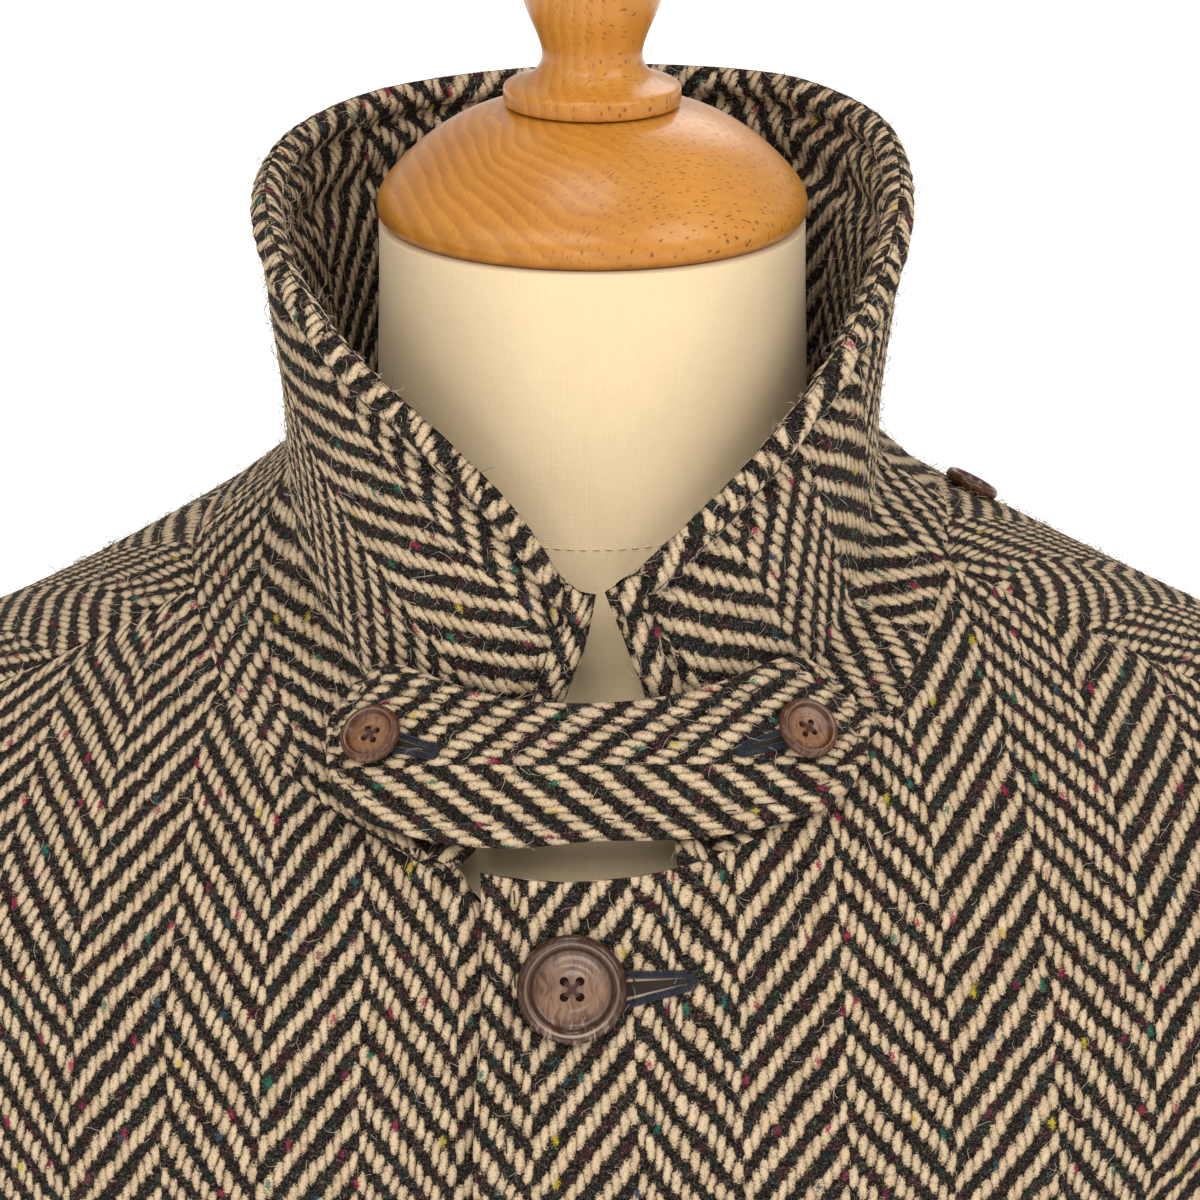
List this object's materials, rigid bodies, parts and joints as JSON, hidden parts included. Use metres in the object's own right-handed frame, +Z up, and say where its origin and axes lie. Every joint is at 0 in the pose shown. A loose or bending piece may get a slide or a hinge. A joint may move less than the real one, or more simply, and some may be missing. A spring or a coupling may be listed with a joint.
{
  "type": "herringbone tweed overcoat on a limbless tailor's dress form",
  "caption": "Long single-breasted herringbone tweed overcoat with a turned-up collar held by a buttoned throat latch, on a limbless dress form with a wooden neck cap, pole and base.",
  "frame": {"origin": "on the floor, under the axis of the stand's pole and of the form's neck", "axes": "+Z up along the pole and the neck; the coat's front faces -Y; +X is the wearer's left"},
  "size_m": [0.6, 0.416, 1.659],
  "materials": {
    "tweed": "brushed heavy wool, cream and charcoal herringbone with coloured flecks",
    "horn": "polished brown horn with pale marbling",
    "calico": "plain cream cotton, tightly stretched",
    "beech": "turned beech with a satin varnish"
  },
  "bodies": {
    "root": {"front_left": "tweed", "front_right": "tweed", "back_left": "tweed", "back_right": "tweed", "sleeve_top_left": "tweed", "sleeve_top_right": "tweed", "sleeve_under_left": "tweed", "sleeve_under_right": "tweed", "collar": "tweed", "throat_latch": "tweed", "front_button_1": "horn", "front_button_2": "horn", "front_button_3": "horn", "front_button_4": "horn", "front_button_5": "horn", "latch_button_left": "horn", "latch_button_right": "horn", "shoulder_button": "horn", "form_torso": "calico", "neck_cap": "beech", "finial": "beech", "pole": "beech", "base": "beech"}
  },
  "joints": []
}
